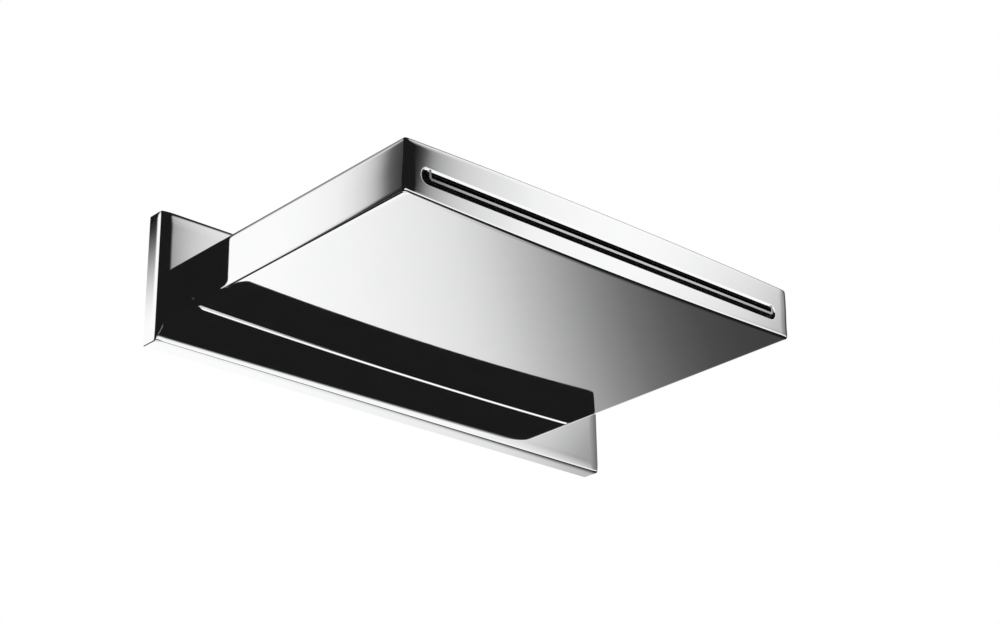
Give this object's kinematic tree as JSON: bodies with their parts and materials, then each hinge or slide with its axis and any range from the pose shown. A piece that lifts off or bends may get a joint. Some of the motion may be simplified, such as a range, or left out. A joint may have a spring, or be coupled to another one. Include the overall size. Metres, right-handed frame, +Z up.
{
  "type": "wall-mounted waterfall bath spout",
  "caption": "Flat box spout for a bath on a rectangular cover plate: water enters from the wall, spreads in an inner chamber and leaves as a sheet over a lip in the front slot.",
  "frame": {"origin": "on the wall plane, on the supply axis, at the centre of the four wall screws", "axes": "+Y into the wall, +Z up, +X to the right when facing the wall; the spout reaches out along -Y"},
  "size_m": [0.29, 0.1977, 0.068],
  "materials": {
    "chrome": "mirror-bright plating on brass",
    "satin_steel": "fine satin",
    "black_plastic": "matt moulded",
    "rubber": "moulded",
    "steel": "plain stainless",
    "foam": "closed-cell foam",
    "brass": "machined",
    "chrome_plastic": "bright plated",
    "fibre": "pressed fibre"
  },
  "bodies": {
    "root": {"spout_shell": "chrome", "outlet_lip": "satin_steel", "nozzle_body": "black_plastic", "nozzle_seal": "rubber", "nozzle_gasket": "rubber", "chamber_tray": "black_plastic", "chamber_cover": "black_plastic", "chamber_seal": "rubber", "cover_screws": "steel", "chamber_pads": "rubber", "baffle_plate": "steel", "flow_comb": "black_plastic", "damping_strips": "foam", "rear_block": "brass", "block_screws": "steel", "grub_screws": "steel", "grub_caps": "chrome_plastic", "chamber_oring": "rubber", "spout_gasket": "rubber", "wall_plate": "chrome", "wall_seal": "foam", "wall_bracket": "steel", "bracket_arms": "steel", "arm_screws": "steel", "wall_screws": "steel", "screw_washers": "steel", "supply_nipple": "brass", "nipple_orings": "rubber", "nipple_washer": "fibre", "inlet_filter": "steel"}
  },
  "joints": []
}
